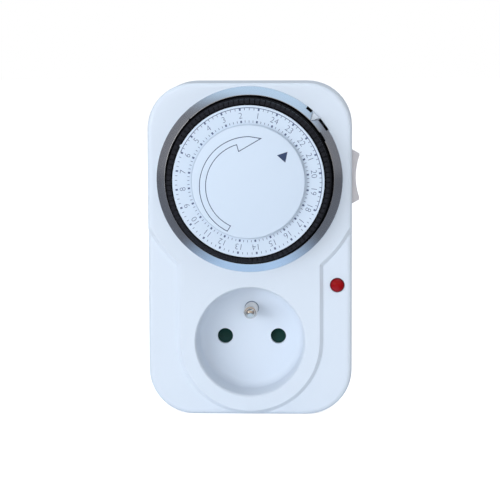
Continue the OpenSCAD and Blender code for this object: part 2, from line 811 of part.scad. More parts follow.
module number_ring() color("white") plan() at_dial() {
    slab(dial_h - ring_thick, dial_h) difference() {
        circle(dial_r, $fn = 128);
        circle(7);
    }
    clock(lug_angle) slab(dial_h - ring_thick, dial_h)
        polygon([[-1, dial_r - 0.3], [0, dial_r + 0.5], [1, dial_r - 0.3]]);
}

module centre_disc() color("white") plan() at_dial() difference() {
    rotate_extrude($fn = 128) polygon([
        [0, dial_h - 1.8],
        [4, dial_h - 1.8],
        [4, disc_h - 1.2],
        [disc_r, disc_h - 1.2],
        [disc_r, disc_h - 0.3],
        [disc_r - 0.3, disc_h],
        [0, disc_h]
    ]);
    rod(post_r + fixed_gap / 4, dial_h - 1.8 - e, dial_h + 0.2);
}

module bezel() color("slategray") plan() at_dial() difference() {
    rotate_extrude($fn = 128) polygon([
        [bezel_in_r, face_h - skirt_h],
        [opening_r - fixed_gap, face_h - skirt_h],
        [opening_r - fixed_gap, face_h],
        [bezel_out_r, face_h],
        [bezel_out_r, face_h + 0.35],
        [bezel_out_r - 0.5, face_h + bezel_rise * 0.5],
        [bezel_out_r - 1.4, face_h + bezel_rise * 0.85],
        [bezel_in_r + 0.6, bezel_h],
        [bezel_in_r, bezel_h - 0.15]
    ]);
    clock(index_angle) slab(face_h - skirt_h - e, bezel_h + e) index_wedge(bezel_in_r + 0.1, bezel_out_r + e);
    slab(face_h - e, bezel_h + e) notches(bezel_out_r - 0.9, bezel_out_r + e);
    slab(face_h - skirt_h - e, bezel_h + e) {
        polygon(sector(bezel_in_r - e, bezel_in_r + 0.5, index_angle + 10, index_angle + 17));
        polygon(sector(bezel_in_r - e, bezel_in_r + 0.4, 315, 316.2));
    }
}

module microswitch() color("dimgray") plan() at_dial() clock(index_angle) {
    difference() {
        block(
            [switch_shift, button_r - switch_size[1] / 2, switch_low],
            [switch_shift + switch_size[0], button_r + switch_size[1] / 2, switch_top]
        );
        translate([0, button_r]) rod(0.9 + run_gap, switch_top - 3, switch_top + e);
    }
    for (k = [0:1]) translate([switch_shift + 0.2 + k * (switch_size[0] - 1.2), button_r - 0.8, 0])
        block([0, -0.8, switch_low - 4], [0.8, 2.4, switch_low + 0.1]);
}

module switch_button() color("firebrick") plan() at_dial() clock(index_angle) translate([0, button_r])
    rod(0.9, switch_top - 1.8, button_top - 0.1);

// Lever from the pivot in the corner to a nose under the ring of tappets
module follower() color("orange") plan() at_dial() clock(index_angle) {
    translate([-follower_half, 0, 0]) rotate([90, 0, 90]) linear_extrude(2 * follower_half) polygon([
        [pivot_r + 1.6, pivot_h - 1.5],
        [pivot_r + 1.6, pivot_h + 1.5],
        [tip_track_r + 3, pivot_h + 1.5],
        [tip_track_r + 0.8, nose_top],
        [tip_track_r - 0.6, nose_top],
        [tip_track_r - 0.6, nose_top - 1.5],
        [tip_track_r + 2.2, pivot_h - 1.5]
    ]);
    translate([0, pivot_r, pivot_h]) rotate([0, 90, 0])
        cylinder(r = trunnion_r, h = 2 * follower_half + 2.8, center = true);
}

// Rocker in its middle position, with a hollow outer face
module rocker() color("lavender") plan() translate([rocker_x, dial_up, 0]) {
    wall_x = half_w - rocker_x;
    out_x = wall_x + rocker_rise;
    half = rocker_len / 2;
    sag_angle = asin(half / rocker_hollow_r);
    centre_x = out_x + rocker_hollow_r * cos(sag_angle);
    slab(rocker_h - rocker_w / 2, rocker_h + rocker_w / 2) polygon(concat(
        [[wall_x - 2.2, half + rocker_slope], [wall_x, half + rocker_slope]],
        arc(rocker_hollow_r, 270 + sag_angle, 270 - sag_angle, 12, [centre_x, 0]),
        [[wall_x, -half - rocker_slope], [wall_x - 2.2, -half - rocker_slope]],
        [[-0.8, -2.2], [-2, -0.5], [-2, 0.5], [-0.8, 2.2]]
    ));
    rod(rocker_pin_r, rocker_h - rocker_w / 2 - 1.6, rocker_h + rocker_w / 2 + 1.6);
}

module rocker_base() color("dimgray") plan() translate([0, dial_up, 0]) difference() {
    union() {
        block(
            [base_x, -contact_y - 2.5, rocker_h - cheek_h - 0.8],
            [base_x + 1, contact_y + 2.5, rocker_h + cheek_h + 0.8]
        );
        for (side = [-1, 1]) translate([0, 0, rocker_h + side * cheek_h])
            block([base_x, -3.6, -0.8], [half_w - wall - 0.05, 3.6, 0.8]);
    }
    translate([rocker_x, 0]) rod(rocker_pin_r + run_gap, rocker_h - rocker_w, rocker_h + rocker_w);
    translate([axle_x, 0]) rod(axle_r + run_gap, rocker_h - rocker_w, rocker_h + rocker_w);
    for (y = [-contact_y, contact_y]) block(
        [base_x - e, y - 1.2 - fixed_gap, rocker_h - 2 - fixed_gap],
        [base_x + 1 + e, y + 1.2 + fixed_gap, rocker_h + 2 + fixed_gap]
    );
}

module rocker_contacts() color("goldenrod") plan() translate([0, dial_up, 0]) for (y = [-contact_y, contact_y])
    block([base_x - 0.6, y - 1.2, rocker_h - 2], [base_x + 1.3, y + 1.2, rocker_h + 2]);

// See-saw bridge on an axle, which the rocker tips onto one contact or the other
module rocker_bridge() color("gold") plan() translate([0, dial_up, 0]) {
    block(
        [bridge_x, -bridge_len / 2, rocker_h - 2.5],
        [bridge_x + bridge_thick, bridge_len / 2, rocker_h + 2.5]
    );
    translate([axle_x, 0]) rod(axle_r, rocker_h - cheek_h - 0.6, rocker_h + cheek_h + 0.6);
}

module pilot_lens() color("crimson") plan() translate([lens_x, lens_y, 0]) {
    r = lens_d / 2;
    dome = 1.3;
    rotate_extrude() polygon(concat(
        [[0, front_in - 1], [r + 0.5, front_in - 1], [r + 0.5, front_in - 0.05], [r, front_in - 0.05]],
        [for (i = [0:8]) [r * cos(i * 11.25), low_h + dome * sin(i * 11.25)]]
    ));
}

module pilot_lamp() color("orange") plan() translate([lens_x, lens_y, 0]) {
    rod(lamp_r, lamp_low, lamp_top - lamp_r);
    translate([0, 0, lamp_top - lamp_r]) sphere(lamp_r);
    both_sides() translate([1, 0, 0]) rod(0.3, lamp_leg_low, lamp_low + 0.1);
}

front_case();
rear_case();
case_screws();
small_screws();
plug_pin_line();
plug_pin_neutral();
plug_earth_clips();
plug_earth_socket();
socket_earth_pin();
shutter();
shutter_spring();
contact_carrier();
line_contact();
neutral_contact();
line_bar();
switched_bar();
leads();
movement_plate();
motor();
motor_pinion();
idler_gear();
dial_gear();
dial_carrier();
tappet_guide();
number_ring();
centre_disc();
bezel();
microswitch();
switch_button();
follower();
rocker();
rocker_base();
rocker_contacts();
rocker_bridge();
pilot_lens();
pilot_lamp();
for (hour = [1:hours]) hour_tappets(hour);
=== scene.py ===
from math import atan2, cos, degrees, radians, sin, tau

import bpy
from mathutils import Matrix, Vector


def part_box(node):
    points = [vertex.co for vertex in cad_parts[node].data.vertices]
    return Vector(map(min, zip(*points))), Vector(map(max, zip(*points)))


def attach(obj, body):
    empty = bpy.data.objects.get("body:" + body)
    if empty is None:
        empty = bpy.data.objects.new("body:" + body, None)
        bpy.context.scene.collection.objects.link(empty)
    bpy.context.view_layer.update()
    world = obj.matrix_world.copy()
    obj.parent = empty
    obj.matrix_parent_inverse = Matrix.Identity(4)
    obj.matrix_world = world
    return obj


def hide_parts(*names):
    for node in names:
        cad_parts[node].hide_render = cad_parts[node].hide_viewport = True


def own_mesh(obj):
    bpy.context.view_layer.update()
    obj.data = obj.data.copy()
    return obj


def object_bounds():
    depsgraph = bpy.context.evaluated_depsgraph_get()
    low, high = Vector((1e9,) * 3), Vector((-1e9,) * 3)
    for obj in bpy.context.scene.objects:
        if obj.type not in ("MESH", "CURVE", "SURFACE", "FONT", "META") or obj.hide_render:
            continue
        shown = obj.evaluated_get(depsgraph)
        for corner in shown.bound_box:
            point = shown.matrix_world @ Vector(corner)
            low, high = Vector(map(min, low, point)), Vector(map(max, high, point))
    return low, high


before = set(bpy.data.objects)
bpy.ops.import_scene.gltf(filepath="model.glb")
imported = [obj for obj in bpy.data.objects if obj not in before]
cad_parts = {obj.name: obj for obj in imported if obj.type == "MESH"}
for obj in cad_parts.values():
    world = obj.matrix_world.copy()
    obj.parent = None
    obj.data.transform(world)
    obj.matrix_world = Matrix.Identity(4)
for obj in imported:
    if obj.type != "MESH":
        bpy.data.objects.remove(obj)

cad_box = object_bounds()
MM = 0.001

# Camera: a long lens a little above the timer and a little to its right. It looks at the
# middle of the front from 0.8 m, with a slight tilt of the horizon.
azimuth, elevation, roll = radians(2.44), radians(5.94), radians(-0.17)
camera_distance, looked_at = 0.8, Vector((0.09, -49, 32.49)) * MM
towards_camera = Vector(
    (sin(azimuth) * cos(elevation), -cos(azimuth) * cos(elevation), sin(elevation))
)
camera_data = bpy.data.cameras.new("camera")
camera_data.sensor_width = 36
camera_data.lens = 164.58
camera = bpy.data.objects.new("camera", camera_data)
camera.location = looked_at + camera_distance * towards_camera
camera.rotation_mode = "QUATERNION"
camera.rotation_quaternion = (
    (-towards_camera).to_track_quat("-Z", "Y") @ Matrix.Rotation(roll, 3, "Z").to_quaternion()
)
scene = bpy.context.scene
scene.collection.objects.link(camera)
scene.camera = camera
scene.view_settings.view_transform = "Standard"

# Studio lamps: slightly cold soft boxes to the left of the camera, level with the timer and above
# it, and a weaker one beside the camera, with a little light from overhead and from behind.
lamp_colour = (0.835, 0.908, 1)
lamps_aim = Vector((0, -0.03, 0.035))


def soft_box(name, place, width, height, power):
    """Lamp with its place and size in metres and its power in watts, kept out of reflections."""
    lamp = bpy.data.lights.new(name, "AREA")
    lamp.shape = "RECTANGLE"
    lamp.size, lamp.size_y = width, height
    lamp.energy = power
    lamp.color = lamp_colour
    holder = bpy.data.objects.new(name, lamp)
    scene.collection.objects.link(holder)
    holder.location = place
    holder.rotation_mode = "QUATERNION"
    holder.rotation_quaternion = (Vector(place) - lamps_aim).to_track_quat("Z", "Y")
    holder.visible_glossy = False


soft_box("left_box", (-0.62, -1.02, 0.005), 0.9, 0.4, 6.6)
soft_box("upper_box", (-0.6, -0.95, 0.35), 0.7, 0.5, 2.5)
soft_box("front_box", (0.1, -1.3, 0.01), 0.5, 0.3, 4.2)
soft_box("top_box", (0, -0.1, 1.0), 0.7, 0.7, 2.1)
soft_box("back_box", (0.4, 0.8, 0.5), 0.6, 0.6, 2.5)

# Room: dim grey walls, a bright blue-white ceiling, a warm wall in front and the left soft box
# in the metal's reflections, plain grey for the light on the timer, and white for the camera.
wall_grey, ceiling_blue = (0.22, 0.22, 0.24, 1), (0.65, 0.84, 1.04, 1)
front_warm, box_white = (0.6, 0.53, 0.46, 1), (1.35, 1.3, 1.25, 1)
room_light, white = (0.415, 0.435, 0.45, 1), (1, 1, 1, 1)
ceiling_aim, front_aim, left_box_aim = (0.29, 0, 0.957), (0, -1, 0), (-0.52, -0.84, 0.15)


def add_node(tree, kind, *inputs, **settings):
    """Adds a node; inputs are values or other nodes' outputs, in socket order."""
    node = tree.nodes.new(kind)
    for key, value in settings.items():
        setattr(node, key, value)
    open_sockets = [socket for socket in node.inputs if socket.enabled]
    for socket, value in zip(open_sockets, inputs):
        if isinstance(value, bpy.types.NodeSocket):
            tree.links.new(value, socket)
        else:
            socket.default_value = value
    return node


def blend(tree, share, first, second):
    return add_node(tree, "ShaderNodeMix", share, first, second, data_type="RGBA").outputs["Result"]


def ramp(tree, value, start, end):
    """Rises evenly from 0 at the start value to 1 at the end value, and stays within them."""
    return add_node(tree, "ShaderNodeMapRange", value, start, end, 0.0, 1.0).outputs["Result"]


def calculated(tree, operation, *values):
    return add_node(tree, "ShaderNodeMath", *values, operation=operation).outputs[0]


def vector_calculated(tree, operation, *vectors):
    result = "Value" if operation in ("DOT_PRODUCT", "LENGTH") else "Vector"
    return add_node(tree, "ShaderNodeVectorMath", *vectors, operation=operation).outputs[result]


room = bpy.data.worlds.new("room")
scene.world = room
room.use_nodes = True
tree = room.node_tree
rays = tree.nodes.new("ShaderNodeLightPath").outputs
heading = tree.nodes.new("ShaderNodeTexCoord").outputs["Generated"]
up_share = ramp(tree, vector_calculated(tree, "DOT_PRODUCT", heading, ceiling_aim), 0.45, 0.78)
sideways = add_node(tree, "ShaderNodeSeparateXYZ", heading).outputs["X"]
ceiling = calculated(tree, "MULTIPLY", up_share, ramp(tree, sideways, 0.74, 0.62))
walls = blend(tree, ceiling, wall_grey, ceiling_blue)
for aim, edge, full, colour in (
    (front_aim, 0.62, 0.92, front_warm),
    (left_box_aim, 0.95, 0.985, box_white),
):
    ahead = vector_calculated(tree, "DOT_PRODUCT", heading, aim)
    walls = blend(tree, ramp(tree, ahead, edge, full), walls, colour)
lit = blend(tree, rays["Is Glossy Ray"], room_light, walls)
seen = calculated(tree, "MAXIMUM", rays["Is Camera Ray"], rays["Is Transmission Ray"])
tree.links.new(blend(tree, seen, lit, white), tree.nodes["Background"].inputs["Color"])

# Table: a white round top on which the timer's lower edge stands. It shows white to the
# camera, keeps the timer's soft shadow, and shines into the metal only close by.
table_r, table_glow, glow_far, glow_near = 4, 0.84, 0.085, 0.03
glow_in_metal = (0.5, 0.74, 1.04, 1)
top_white, top_in_metal = (0.8, 0.8, 0.8, 1), (0.2, 0.2, 0.22, 1)
bpy.ops.object.select_all(action="DESELECT")
bpy.ops.mesh.primitive_circle_add(
    vertices=96, radius=table_r, fill_type="NGON", location=(0, 0, cad_box[0].z)
)
table_top = bpy.context.object
table_top.name = "table_top"
table_white = bpy.data.materials.new("table_white")
table_white.use_nodes = True
tree = table_white.node_tree
surface = tree.nodes["Principled BSDF"]
surface.inputs["Roughness"].default_value = 0.9
surface.inputs["Specular IOR Level"].default_value = 0
rays = tree.nodes.new("ShaderNodeLightPath").outputs
spot = tree.nodes.new("ShaderNodeTexCoord").outputs["Object"]
reach = vector_calculated(tree, "LENGTH", vector_calculated(tree, "MULTIPLY", spot, (1, 0.2, 1)))
near = ramp(tree, reach, glow_far, glow_near)
in_metal = calculated(tree, "MULTIPLY", rays["Is Glossy Ray"], near)
seen = calculated(tree, "MAXIMUM", rays["Is Camera Ray"], rays["Is Transmission Ray"])
glow = calculated(tree, "MULTIPLY", calculated(tree, "MAXIMUM", seen, in_metal), table_glow)
tree.links.new(glow, surface.inputs["Emission Strength"])
glow_colour = blend(tree, rays["Is Glossy Ray"], white, glow_in_metal)
tree.links.new(glow_colour, surface.inputs["Emission Color"])
top_colour = blend(tree, rays["Is Glossy Ray"], top_white, top_in_metal)
tree.links.new(top_colour, surface.inputs["Base Color"])
table_top.data.materials.append(table_white)

# Front shell: a deep white tray of injection-moulded ABS with a raised keyhole face, the
# socket's cup and the windows of dial, lens and rocker. Four screws from behind hold it.
FLOAT, COLOUR, VECTOR = "NodeSocketFloat", "NodeSocketColor", "NodeSocketVector"


def look_group(name, extras):
    """Node group from two colours and some values to a colour, a roughness and a height."""
    group = bpy.data.node_groups.new(name, "ShaderNodeTree")
    for label, kind, start in (
        ("Color", COLOUR, (0.8, 0.8, 0.8, 1)),
        ("Shade", COLOUR, (0.7, 0.7, 0.7, 1)),
        *extras,
        ("Roughness", FLOAT, 0.4),
        ("Roughness Spread", FLOAT, 0.08),
    ):
        group.interface.new_socket(label, in_out="INPUT", socket_type=kind).default_value = start
    for label, kind in (("Color", COLOUR), ("Roughness", FLOAT), ("Height", FLOAT)):
        group.interface.new_socket(label, in_out="OUTPUT", socket_type=kind)
    given = group.nodes.new("NodeGroupInput").outputs
    made = group.nodes.new("NodeGroupOutput").inputs
    place = group.nodes.new("ShaderNodeTexCoord").outputs["Object"]
    return group, given, made, place


def noise(tree, place, scale, detail):
    return add_node(tree, "ShaderNodeTexNoise", place, scale, detail).outputs[0]


def finish_look(group, given, made, tone, relief):
    """Colour from a tone, roughness and height from a relief, both 0 to 1."""
    group.links.new(blend(group, tone, given["Shade"], given["Color"]), made["Color"])
    spread, least = given["Roughness Spread"], given["Roughness"]
    group.links.new(calculated(group, "MULTIPLY_ADD", relief, spread, least), made["Roughness"])
    group.links.new(relief, made["Height"])


# Moulded skin: the fine spark-eroded grain of a steel mould, and a slight unevenness of tone
moulded_skin, given, made, place = look_group("moulded_skin", [("Grain Scale", FLOAT, 3000)])
cloud = noise(moulded_skin, place, 28, 2)
grain = noise(moulded_skin, place, given["Grain Scale"], 1)
finish_look(moulded_skin, given, made, cloud, grain)


def rgb(red, green, blue):
    """Linear colour, with alpha, of a colour given in display values from 0 to 255."""
    shares = [value / 255 for value in (red, green, blue)]
    return tuple(s / 12.92 if s <= 0.04045 else ((s + 0.055) / 1.055) ** 2.4 for s in shares) + (1,)


def finish_of(name, group, values, bump, **shader):
    """Principled material whose colour, roughness and height come from a look group."""
    material = bpy.data.materials.new(name)
    material.use_nodes = True
    tree = material.node_tree
    surface = tree.nodes["Principled BSDF"]
    look = tree.nodes.new("ShaderNodeGroup")
    look.node_tree = group
    for key, value in values.items():
        look.inputs[key].default_value = value
    for key, value in shader.items():
        surface.inputs[key.replace("_", " ")].default_value = value
    relief = tree.nodes.new("ShaderNodeBump")
    relief.inputs["Strength"].default_value = bump
    relief.inputs["Distance"].default_value = 0.02 * MM
    tree.links.new(look.outputs["Color"], surface.inputs["Base Color"])
    tree.links.new(look.outputs["Roughness"], surface.inputs["Roughness"])
    tree.links.new(look.outputs["Height"], relief.inputs["Height"])
    tree.links.new(relief.outputs["Normal"], surface.inputs["Normal"])
    return material


def plastic(name, colour, shade, grain=3000, roughness=0.4, spread=0.08, bump=0.3, **shader):
    values = {"Color": rgb(*colour), "Shade": rgb(*shade), "Grain Scale": grain}
    values.update({"Roughness": roughness, "Roughness Spread": spread})
    return finish_of(name, moulded_skin, values, bump, **shader)


def dress(material, *nodes):
    """Gives carried-over CAD nodes their material."""
    for node in nodes:
        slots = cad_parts[node].data.materials
        slots.clear()
        slots.append(material)


shell_white = plastic("shell_white", (229, 235, 243), (226, 232, 240), roughness=0.36)
dress(shell_white, "front_case")

# Rear shell: a shallow tray of the same ABS with the round plug body moulded on, notches
# for the earth clips and grooves that guide it into a wall socket.
dress(shell_white, "rear_case")

# Screws: four long zinc-plated steel screws with a pan head and a cross recess, sunk in wells of
# the rear shell. Their threads cut into the front shell's bosses. Seven short screws hold the
# contact carrier, the movement plate and the motor.
head_r, head_flat_r, head_round, head_deep = 2.6, 1.2, 0.85, 1.2
shank_r, thread_r, thread_deep, thread_step, thread_rows = 1.3, 1.2, 0.25, 0.45, 30
point_r, point_long = 0.7, 0.9
recess_foot_r, recess_r, recess_deep, blade_share = 0.35, 1.9, 1.6, 0.3
screw_places = [(-30.5, 78.0), (-28.0, -17.75), (28.0, -17.75), (30.5, 78.0)]
first_turn, turn_between = 0.7, 1.1


def only(piece):
    """Selects this piece alone."""
    bpy.ops.object.select_all(action="DESELECT")
    piece.select_set(True)
    bpy.context.view_layer.objects.active = piece


def smooth(piece, angle=35):
    only(piece)
    bpy.ops.object.shade_smooth_by_angle(angle=radians(angle))


def turned(name, profile, centre=(0, 0), steps=64):
    """Solid spun about a line along Y through centre (x, z); profile rows are (radius, y) in mm."""
    bpy.ops.object.select_all(action="DESELECT")
    bpy.ops.mesh.primitive_plane_add(size=MM)
    piece = bpy.context.object
    piece.name = piece.data.name = name
    bpy.ops.object.mode_set(mode="EDIT")
    bpy.ops.mesh.select_all(action="SELECT")
    bpy.ops.mesh.merge(type="CENTER")
    centre_x, centre_z = centre[0] * MM, centre[1] * MM
    bpy.ops.transform.translate(value=(centre_x + profile[0][0] * MM, profile[0][1] * MM, centre_z))
    for (r_0, y_0), (r_1, y_1) in zip(profile, profile[1:]):
        bpy.ops.mesh.extrude_region_move(
            TRANSFORM_OT_translate={"value": ((r_1 - r_0) * MM, (y_1 - y_0) * MM, 0)}
        )
    bpy.ops.mesh.select_all(action="SELECT")
    bpy.ops.mesh.spin(steps=steps, angle=tau, center=(centre_x, 0, centre_z), axis=(0, 1, 0))
    bpy.ops.mesh.select_all(action="SELECT")
    bpy.ops.mesh.remove_doubles(threshold=0.001 * MM)
    bpy.ops.mesh.normals_make_consistent(inside=False)
    bpy.ops.object.mode_set(mode="OBJECT")
    smooth(piece)
    return piece


def arc_points(centre, radius, start, end, steps):
    """Points along an arc, with its angles in degrees from the first coordinate to the second."""
    turns = [radians(start + (end - start) * step / steps) for step in range(steps + 1)]
    return [(centre[0] + radius * cos(turn), centre[1] + radius * sin(turn)) for turn in turns]


def cut(piece, *cutters):
    """Takes the cutters out of the piece and deletes them."""
    for cutter in cutters:
        only(piece)
        modifier = piece.modifiers.new("cut", "BOOLEAN")
        modifier.object = cutter
        modifier.solver = "EXACT"
        bpy.ops.object.modifier_apply(modifier=modifier.name)
        bpy.data.objects.remove(cutter)


def moved_copy(piece, name, matrix):
    """Copy with its own mesh, which is moved by the matrix."""
    twin = piece.copy()
    twin.data = piece.data.copy()
    twin.name = twin.data.name = name
    scene.collection.objects.link(twin)
    twin.data.transform(matrix)
    return twin


def joined_pieces(name, pieces):
    only(pieces[0])
    for piece in pieces:
        piece.select_set(True)
    bpy.ops.object.join()
    whole = bpy.context.object
    whole.name = whole.data.name = name
    return whole


# Drawn metal: the fine lines that a die leaves along drawn wire, rod and strip
drawn_metal, given, made, place = look_group(
    "drawn_metal", [("Stretch", VECTOR, (1000, 100, 1000))]
)
stretched = vector_calculated(drawn_metal, "MULTIPLY", place, given["Stretch"])
lines = noise(drawn_metal, stretched, 1, 3)
finish_look(drawn_metal, given, made, lines, lines)


def metal(name, colour, shade, stretch, roughness, spread=0.15):
    values = {"Color": (*colour, 1), "Shade": (*shade, 1), "Stretch": stretch}
    values.update({"Roughness": roughness, "Roughness Spread": spread})
    return finish_of(name, drawn_metal, values, bump=0.15, Metallic=1.0)


zinc = metal("zinc_plated_steel", (0.62, 0.63, 0.64), (0.48, 0.49, 0.5), (2500, 2500, 2500), 0.25)
screw_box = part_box("case_screws")
head_y, tip_y = screw_box[1].y / MM, screw_box[0].y / MM
thread_y, recess_y = head_y - 1.7, head_y - 0.3
screw = turned(
    "screw",
    [(0, head_y), (head_flat_r, head_y)]
    + arc_points((head_r - head_round, head_y - head_round), head_round, 90, 0, 5)
    + [(head_r, head_y - head_deep), (shank_r, head_y - head_deep - 0.05)]
    + [
        (thread_r - thread_deep * (row % 2), thread_y - thread_step * row)
        for row in range(thread_rows)
    ]
    + [(point_r, tip_y + point_long), (0, tip_y)],
    steps=24,
)
for turn in (0, 90):
    bpy.ops.object.select_all(action="DESELECT")
    bpy.ops.mesh.primitive_cone_add(
        vertices=4,
        radius1=recess_foot_r * MM,
        radius2=recess_r * MM,
        depth=recess_deep * MM,
        location=(0, recess_y * MM, 0),
        rotation=(radians(-90), radians(45), 0),
    )
    blade = bpy.context.object
    bpy.ops.object.transform_apply(location=True, rotation=True, scale=True)
    thinned = Matrix.Diagonal((1, 1, blade_share, 1))
    blade.data.transform(Matrix.Rotation(radians(turn), 4, "Y") @ thinned)
    cut(screw, blade)
smooth(screw)
case_screws = joined_pieces("case_screw_heads", [
    moved_copy(
        screw,
        f"screw_{n}",
        Matrix.Translation((x * MM, 0, z * MM))
        @ Matrix.Rotation(first_turn + turn_between * n, 4, "Y"),
    )
    for n, (x, z) in enumerate(screw_places)
])
bpy.data.objects.remove(screw)
case_screws.data.materials.append(zinc)
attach(case_screws, "case")
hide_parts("case_screws")
dress(zinc, "small_screws")

# Plug contacts: turned brass pins, nickel-plated, with the earth clips at top and bottom and
# the brass tube that takes the wall socket's earth pin.
nickel = metal("nickel_plate", (0.74, 0.73, 0.7), (0.62, 0.61, 0.58), (4000, 300, 4000), 0.14)
brass = metal("bare_brass", (0.8, 0.58, 0.24), (0.62, 0.43, 0.16), (3000, 3000, 3000), 0.25)
dress(nickel, "plug_pin_line", "plug_pin_neutral", "plug_earth_clips")
dress(brass, "plug_earth_socket")

# Socket's earth pin: a turned brass pin with a domed tip, nickel-plated and riveted into the
# floor of the recess. A thin grey ring round its foot is painted shade for the gap round the pin.
floor_y, pin_tip_y, earth_z = -33.5, -47.4, 10.0
pin_r, foot_r, rivet_r, collar_r, dome_r = 2.4, 2.1, 2.0, 3.4, 2.2
pin_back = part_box("socket_earth_pin")[1].y / MM
collar_front, collar_back, shoulder_y = floor_y + 2, floor_y + 2.5, pin_tip_y + 2.3
shoulder_centre, shoulder_round = (1.2, shoulder_y - 0.9), 1.0
shade_ring_in, shade_ring_out, shade_ring_thick = 2.38, 2.58, 0.04
earth_pin = turned(
    "earth_pin",
    [(0, pin_back), (rivet_r, pin_back), (rivet_r, collar_back), (collar_r, collar_back)]
    + [(collar_r, collar_front), (foot_r, collar_front), (foot_r, floor_y)]
    + [(pin_r, floor_y), (pin_r, shoulder_y)]
    + arc_points(shoulder_centre, shoulder_round, -10, -35, 3)
    + arc_points((0, pin_tip_y + dome_r), dome_r, -40, -90, 7),
    centre=(0, earth_z),
    steps=48,
)
warm_nickel = metal(
    "worn_nickel", (0.9, 0.84, 0.77), (0.8, 0.71, 0.62), (4000, 300, 4000), 0.16, spread=0.1
)
earth_pin.data.materials.append(warm_nickel)
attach(earth_pin, "case")
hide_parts("socket_earth_pin")
# Thin grey ring on the floor round the pin's foot: painted shade for the gap round the pin.
pin_gap_shade = turned(
    "pin_gap_shade",
    [(shade_ring_in, floor_y), (shade_ring_in, floor_y - shade_ring_thick)]
    + [(shade_ring_out - shade_ring_thick, floor_y - shade_ring_thick), (shade_ring_out, floor_y), (shade_ring_in, floor_y)],
    centre=(0, earth_z),
    steps=48,
)
pin_gap_shade.data.materials.append(plastic("gap_shade_grey", (112, 126, 146), (98, 112, 132), grain=6000))
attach(pin_gap_shade, "case")

# Socket works: a green safety shutter that slides behind the holes against a steel spring,
# the carrier with two slotted brass tubes, and the bars and leads that join them.
shutter_green = plastic(
    "shutter_green", (12, 62, 54), (7, 46, 42), roughness=0.35, Specular_IOR_Level=0.3
)
dress(shutter_green, "shutter")
spring_low, spring_high = (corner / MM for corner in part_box("shutter_spring"))
spring_y = (spring_low.y + spring_high.y) / 2
wire_r, coil_r, coil_turns, shutter_travel = 0.2, 0.8, 8, 6.0
bpy.ops.object.select_all(action="DESELECT")
bpy.ops.mesh.primitive_circle_add(
    vertices=8, radius=wire_r * MM, location=(coil_r * MM, 0, 0), rotation=(radians(90), 0, 0)
)
spring = bpy.context.object
spring.name = spring.data.name = "return_spring"
bpy.ops.object.transform_apply(location=True, rotation=True, scale=True)
winding = spring.modifiers.new("winding", "SCREW")
winding.iterations = coil_turns
winding.screw_offset = (spring_high.z - spring_low.z - 2 * wire_r) / coil_turns * MM
winding.steps = winding.render_steps = 20
bpy.ops.object.modifier_apply(modifier="winding")
bpy.ops.object.mode_set(mode="EDIT")
bpy.ops.mesh.select_all(action="SELECT")
bpy.ops.mesh.remove_doubles(threshold=0.001 * MM)
bpy.ops.mesh.fill_holes(sides=8)
bpy.ops.mesh.select_all(action="SELECT")
bpy.ops.mesh.normals_make_consistent(inside=False)
bpy.ops.transform.translate(value=(0, spring_y * MM, (spring_low.z + wire_r) * MM))
bpy.ops.object.mode_set(mode="OBJECT")
smooth(spring, 60)
spring.data.materials.append(zinc)
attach(spring, "case")
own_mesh(spring)
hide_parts("shutter_spring")
inner_white = plastic("inner_white", (222, 220, 210), (214, 211, 200))
dress(inner_white, "contact_carrier")
dress(brass, "line_contact", "neutral_contact", "line_bar", "switched_bar")
wire_red = plastic("wire_red", (170, 30, 34), (150, 24, 28))
dress(wire_red, "leads")

# Movement: a synchronous motor in a steel can, its brass pinion, and acetal gears that turn
# on posts of the moulded movement plate.
dress(inner_white, "movement_plate")
dress(zinc, "motor")
dress(brass, "motor_pinion")
gear_acetal = plastic("gear_acetal", (236, 230, 208), (228, 220, 194), roughness=0.3)
dress(gear_acetal, "idler_gear", "dial_gear")

# Tappets: 96 black acetal slides, four to an hour, in a slotted ring round the drum. A
# finger pushes them in to switch the socket on for that quarter of an hour. A thin black
# flange on the slotted ring fills the gap round it as painted shade, so the gap shows dark.
hours = range(1, 25)
dial_z = 57.25
flange_in, flange_out, flange_front, flange_back, flange_edge = 28.7, 29.7, -45.4, -45, 0.1
tappet_black = plastic(
    "tappet_black", (36, 36, 41), (27, 27, 32), roughness=0.5, Specular_IOR_Level=0.2
)
dress(tappet_black, "tappet_guide", *[f"tappets_{hour}" for hour in hours])
# Black flange: painted shade that fills the gap between the tappets and the bezel.
gap_shade_flange = turned(
    "gap_shade_flange",
    [(flange_in, flange_front), (flange_out - flange_edge, flange_front)]
    + [(flange_out, flange_front + flange_edge), (flange_out, flange_back)]
    + [(flange_in, flange_back), (flange_in, flange_front)],
    centre=(0, dial_z),
    steps=128,
)
gap_shade_flange.data.materials.append(tappet_black)
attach(gap_shade_flange, "dial")

# Number ring: a white moulded ring on the drum, screen-printed with 24 hours. Hours rise to
# the left, as the ring turns to the right; a line marks the night half.
ring_y, ink_thick = -59.1, 0.015
first_hour, hour_step = 23.4, 15.0
number_r, number_size, number_low, stroke_trim = 22.85, 2.957, 1.035, 0.045
night_in, night_out, night_start, night_end = 25.3, 25.52, 18, 6
dial_white = plastic(
    "dial_white", (218, 228, 240), (215, 225, 237), grain=5000, bump=0.12, roughness=0.42
)
dress(dial_white, "dial_carrier", "number_ring")


def printing_ink(name, colour, shade):
    return plastic(name, colour, shade, grain=9000, roughness=0.5, spread=0.2, bump=0.1)


pale_ink = printing_ink("dial_ink", (92, 104, 136), (80, 92, 124))


def on_dial(clock, r=0.0, y=ring_y):
    """Turns and moves a flat shape that lies at the origin, top up, to its place on the dial."""
    return (
        Matrix.Translation((0, y * MM, dial_z * MM))
        @ Matrix.Rotation(radians(clock), 4, "Y")
        @ Matrix.Translation((0, 0, r * MM))
    )


def clock_of(hour):
    """Angle of an hour round the dial, in degrees from twelve o'clock to the right."""
    return first_hour + (24 - hour) * hour_step


